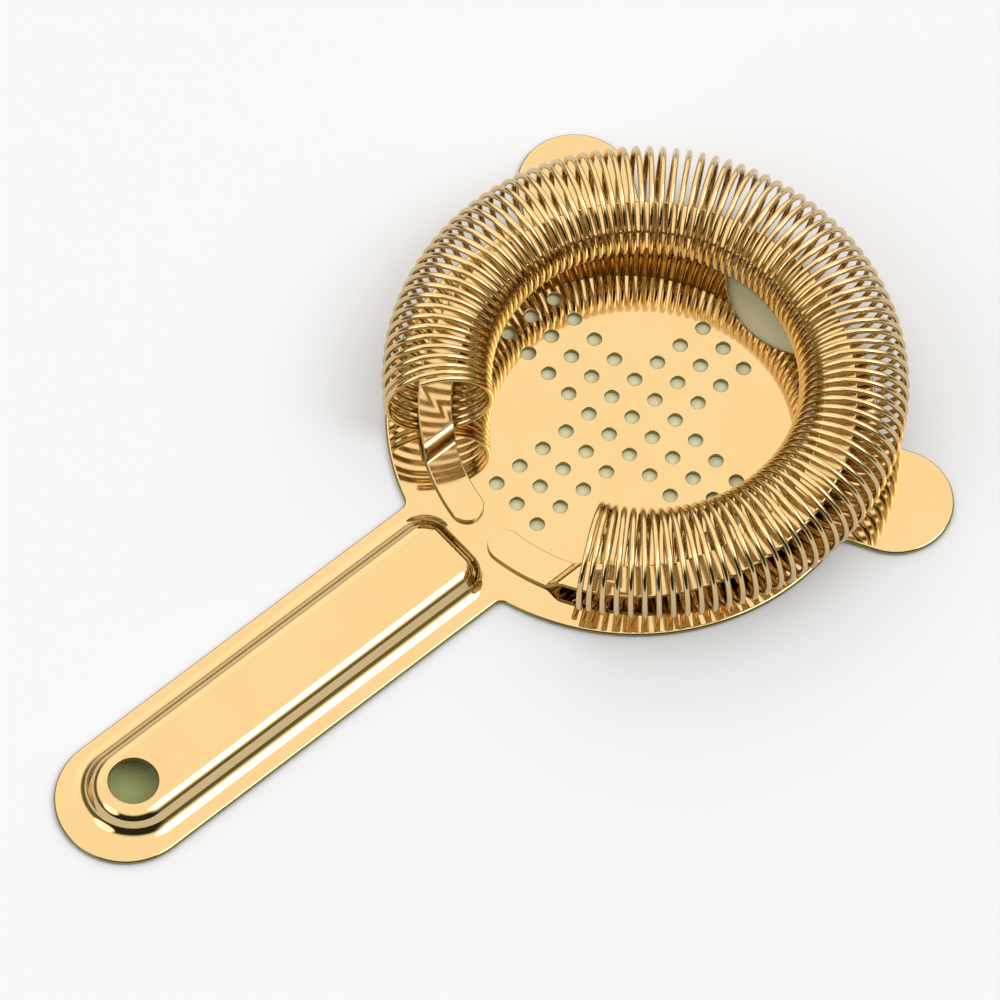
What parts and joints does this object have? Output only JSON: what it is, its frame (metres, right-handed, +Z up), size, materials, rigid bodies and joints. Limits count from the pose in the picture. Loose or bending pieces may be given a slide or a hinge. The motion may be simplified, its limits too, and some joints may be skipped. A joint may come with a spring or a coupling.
{
  "type": "hawthorne strainer",
  "caption": "Flat perforated bar strainer with two ear tabs, a short flat handle and a coil spring bent round its rim, for holding back ice while pouring from a shaker tin.",
  "frame": {"origin": "under the middle of the whole strainer, on the surface that the underside of the plate lies on", "axes": "+X from the handle towards the front of the disc, +Y to the left seen from the handle, +Z up out of the side that carries the coil"},
  "size_m": [0.1911, 0.1138, 0.0225],
  "materials": {
    "plated_sheet": "mirror polished, thin gold-coloured plating on stainless steel sheet",
    "plated_band": "mirror polished, thin gold-coloured plating on stainless steel strip",
    "plated_wire": "bright drawn spring wire, thin gold-coloured plating"
  },
  "bodies": {
    "plate": {"strainer_plate": "plated_sheet", "retaining_band": "plated_band"},
    "spring": {"coil_spring": "plated_wire"}
  },
  "joints": [
    {"name": "spring_press", "type": "slide", "parent": "plate", "child": "spring", "axis": [-1, 0, 0], "range_m": [0, 0.008], "stiffness_N_per_m": 400, "deforming": ["coil_spring"]}
  ]
}
